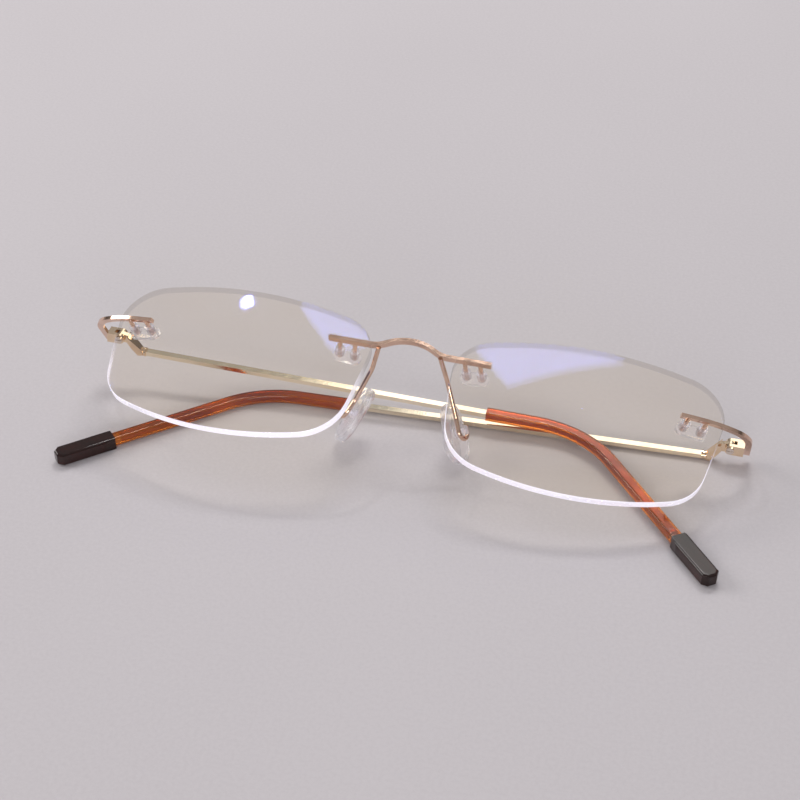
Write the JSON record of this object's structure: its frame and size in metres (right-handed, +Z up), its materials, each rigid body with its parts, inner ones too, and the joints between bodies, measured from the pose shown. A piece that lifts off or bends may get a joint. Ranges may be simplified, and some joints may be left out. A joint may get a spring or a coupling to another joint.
{
  "type": "eyeglasses",
  "caption": "Folded rimless eyeglasses: thin curved lenses hung on a wire bridge and wire end pieces, hinged temples with ear sleeves, rocking nose pads.",
  "frame": {"origin": "middle of the footprint, on the table", "axes": "+X along the width to the wearer's left, +Y up the lenses as they are worn, +Z up from the table"},
  "size_m": [0.1382, 0.043, 0.0246],
  "materials": {
    "lens": "polished, coated",
    "gold_wire": "polished",
    "gold_pin": "polished",
    "gold_hinge": "polished",
    "hinge_screw": "satin",
    "pad_arm_wire": "polished",
    "temple_gold": "polished",
    "amber_sleeve": "gloss, translucent",
    "dark_tip": "gloss",
    "clear_pad": "clear, soft",
    "pad_core": "satin",
    "clear_bush": "clear"
  },
  "bodies": {
    "front": {"bridge_bar": "gold_wire", "bridge_pins": "gold_pin", "left_lens": "lens", "left_end_piece": "gold_wire", "left_end_piece_pins": "gold_pin", "left_bridge_bush": "clear_bush", "left_end_piece_bush": "clear_bush", "left_front_hinge_leaf": "gold_hinge", "left_hinge_screw": "hinge_screw", "left_pad_arm": "pad_arm_wire", "right_lens": "lens", "right_end_piece": "gold_wire", "right_end_piece_pins": "gold_pin", "right_bridge_bush": "clear_bush", "right_end_piece_bush": "clear_bush", "right_front_hinge_leaf": "gold_hinge", "right_hinge_screw": "hinge_screw", "right_pad_arm": "pad_arm_wire"},
    "left_temple": {"left_temple_hinge_leaf": "gold_hinge", "left_temple_collar": "gold_hinge", "left_temple_bar": "temple_gold", "left_temple_sleeve": "amber_sleeve", "left_temple_tip": "dark_tip"},
    "right_temple": {"right_temple_hinge_leaf": "gold_hinge", "right_temple_collar": "gold_hinge", "right_temple_bar": "temple_gold", "right_temple_sleeve": "amber_sleeve", "right_temple_tip": "dark_tip"},
    "left_pad": {"left_nose_pad": "clear_pad", "left_pad_core": "pad_core"},
    "right_pad": {"right_nose_pad": "clear_pad", "right_pad_core": "pad_core"}
  },
  "joints": [
    {"name": "left_temple_fold", "type": "hinge", "parent": "front", "child": "left_temple", "pos_m": [0.06497, 0.01641, 0.00401], "axis": [0, -0.9999, 0.0136], "range_deg": [0, 89]},
    {"name": "right_temple_fold", "type": "hinge", "parent": "front", "child": "right_temple", "pos_m": [-0.06502, 0.01651, 0.0109], "axis": [0, 0.9999, -0.0136], "range_deg": [0, 92]},
    {"name": "left_pad_rock", "type": "hinge", "parent": "front", "child": "left_pad", "pos_m": [0.01205, 0.00644, 0.00632], "axis": [0.366, 0.7356, -0.5701], "range_deg": [-6, 6]},
    {"name": "right_pad_rock", "type": "hinge", "parent": "front", "child": "right_pad", "pos_m": [-0.01216, 0.00646, 0.0076], "axis": [0.4232, -0.7361, 0.5282], "range_deg": [-6, 6]}
  ]
}
